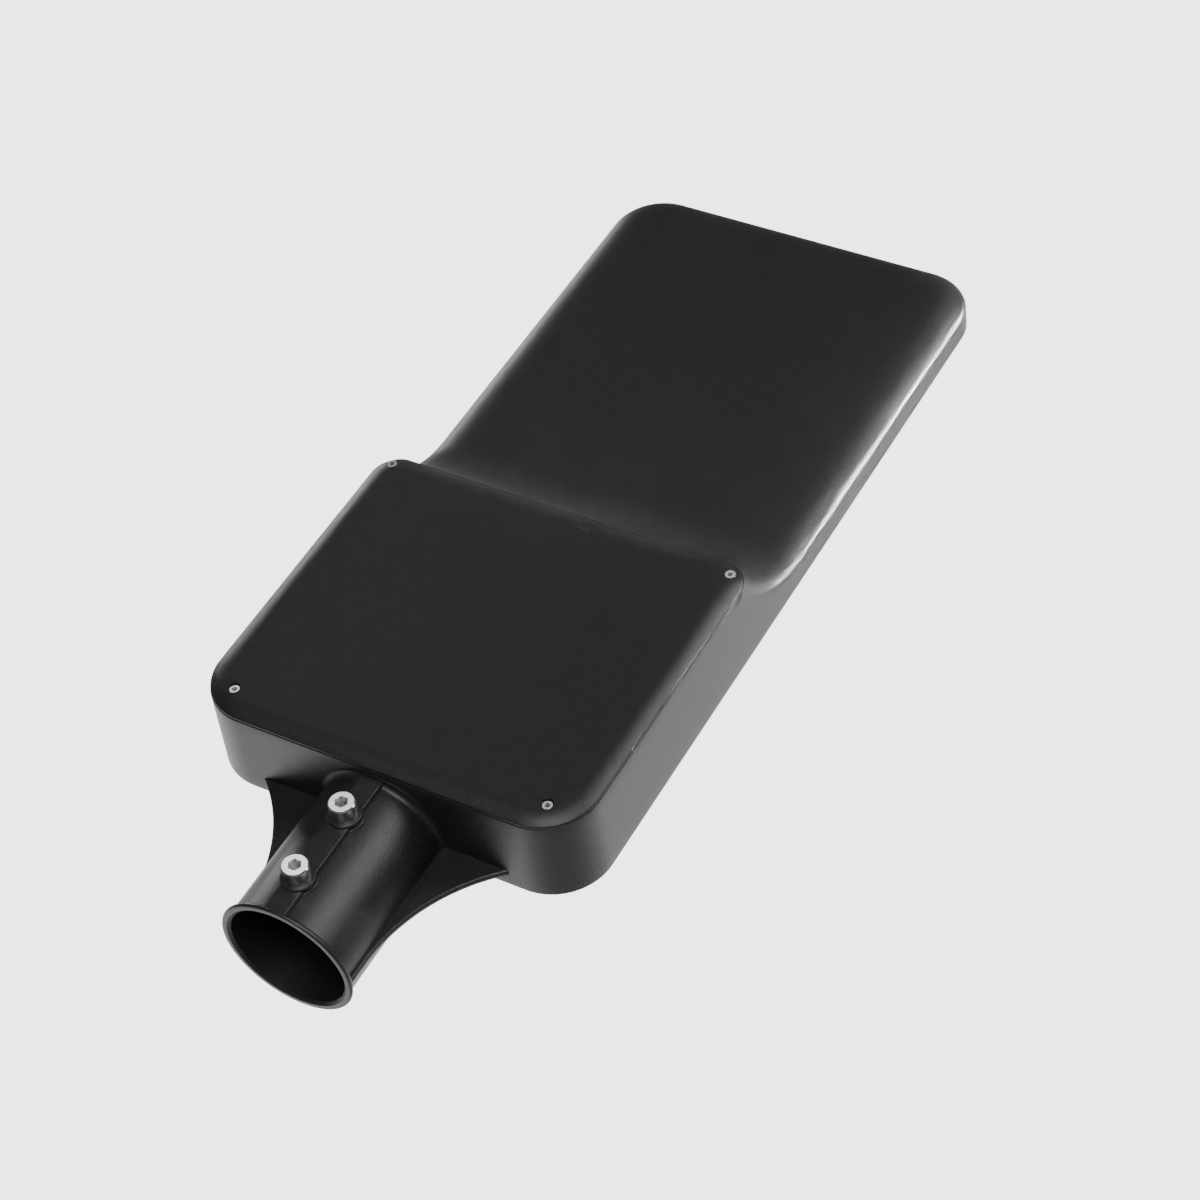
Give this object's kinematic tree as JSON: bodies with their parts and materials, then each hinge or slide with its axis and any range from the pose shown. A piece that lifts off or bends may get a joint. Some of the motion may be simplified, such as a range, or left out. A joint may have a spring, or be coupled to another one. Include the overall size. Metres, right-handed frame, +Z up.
{
  "type": "solar street lamp head",
  "caption": "Die-cast solar street lamp head with a pole spigot, a covered battery and controller compartment and a thin LED slab under glass.",
  "frame": {"origin": "on the pole spigot's axis, where its bore begins behind the lead-in at the mouth", "axes": "+Y along the spigot's axis from the mouth towards the tip of the LED slab, +Z up, +X across"},
  "size_m": [0.209, 0.526, 0.0779],
  "materials": {
    "housing_paint": "fine matt powder coat on die-cast aluminium",
    "cover_paint": "fine matt powder coat on die-cast aluminium",
    "frame_paint": "fine matt powder coat",
    "cover_screw_steel": "bright stainless steel",
    "clamp_screw_steel": "bright stainless steel",
    "inner_steel": "zinc plated",
    "nickel_strip": "satin nickel",
    "brass_part": "satin",
    "seal_rubber": "matt silicone rubber",
    "gland_nylon": "moulded nylon",
    "tray_plastic": "moulded flame-retardant plastic",
    "cell_wrap": "shrink wrap over a steel can",
    "fish_paper": "insulating sheet",
    "board_green": "solder mask on glass-fibre board",
    "controller_metal": "satin anodised",
    "terminal_plastic": "moulded",
    "wire_insulation": "silicone insulation",
    "board_white": "white solder mask on an aluminium-core board",
    "led_phosphor": "phosphor under clear silicone",
    "lens_clear": "clear moulded acrylic",
    "window_glass": "clear tempered glass"
  },
  "bodies": {
    "head": {"housing": "housing_paint", "cover_gasket": "seal_rubber", "gland_body": "gland_nylon", "gland_dome_nut": "gland_nylon", "gland_seal": "seal_rubber", "gland_locknut": "gland_nylon", "battery_tray": "tray_plastic", "battery_cells": "cell_wrap", "cell_links": "nickel_strip", "battery_sheet": "fish_paper", "bms_board": "board_green", "battery_straps": "inner_steel", "strap_screws": "inner_steel", "controller_case": "controller_metal", "controller_lid": "controller_metal", "controller_screws": "inner_steel", "terminal_block": "terminal_plastic", "terminal_screws": "brass_part", "earth_screw": "brass_part", "battery_leads": "wire_insulation", "led_leads": "wire_insulation", "bulkhead_grommet": "seal_rubber", "led_board": "board_white", "led_chips": "led_phosphor", "lens_plate": "lens_clear", "lens_screws": "inner_steel", "glass_gasket": "seal_rubber", "glass_pane": "window_glass", "glass_frame": "frame_paint", "frame_screws": "cover_screw_steel", "breather_vent": "gland_nylon", "vent_nut": "gland_nylon"},
    "cover": {"top_cover": "cover_paint"},
    "cover_screw_1": {"cover_screw_near_left": "cover_screw_steel"},
    "cover_screw_2": {"cover_screw_near_right": "cover_screw_steel"},
    "cover_screw_3": {"cover_screw_far_left": "cover_screw_steel"},
    "cover_screw_4": {"cover_screw_far_right": "cover_screw_steel"},
    "clamp_screw_1": {"clamp_screw_front": "clamp_screw_steel"},
    "clamp_screw_2": {"clamp_screw_rear": "clamp_screw_steel"}
  },
  "joints": [
    {"name": "cover_lift", "type": "slide", "parent": "head", "child": "cover", "axis": [0, 0, 1], "range_m": [0, 0.06]},
    {"name": "near_left_screw_out", "type": "slide", "parent": "cover", "child": "cover_screw_1", "axis": [0, 0, 1], "range_m": [0, 0.008]},
    {"name": "near_right_screw_out", "type": "slide", "parent": "cover", "child": "cover_screw_2", "axis": [0, 0, 1], "range_m": [0, 0.008]},
    {"name": "far_left_screw_out", "type": "slide", "parent": "cover", "child": "cover_screw_3", "axis": [0, 0, 1], "range_m": [0, 0.008]},
    {"name": "far_right_screw_out", "type": "slide", "parent": "cover", "child": "cover_screw_4", "axis": [0, 0, 1], "range_m": [0, 0.008]},
    {"name": "front_clamp_screw_out", "type": "slide", "parent": "head", "child": "clamp_screw_1", "axis": [0, 0, 1], "range_m": [0, 0.004]},
    {"name": "rear_clamp_screw_out", "type": "slide", "parent": "head", "child": "clamp_screw_2", "axis": [0, 0, 1], "range_m": [0, 0.004]}
  ]
}
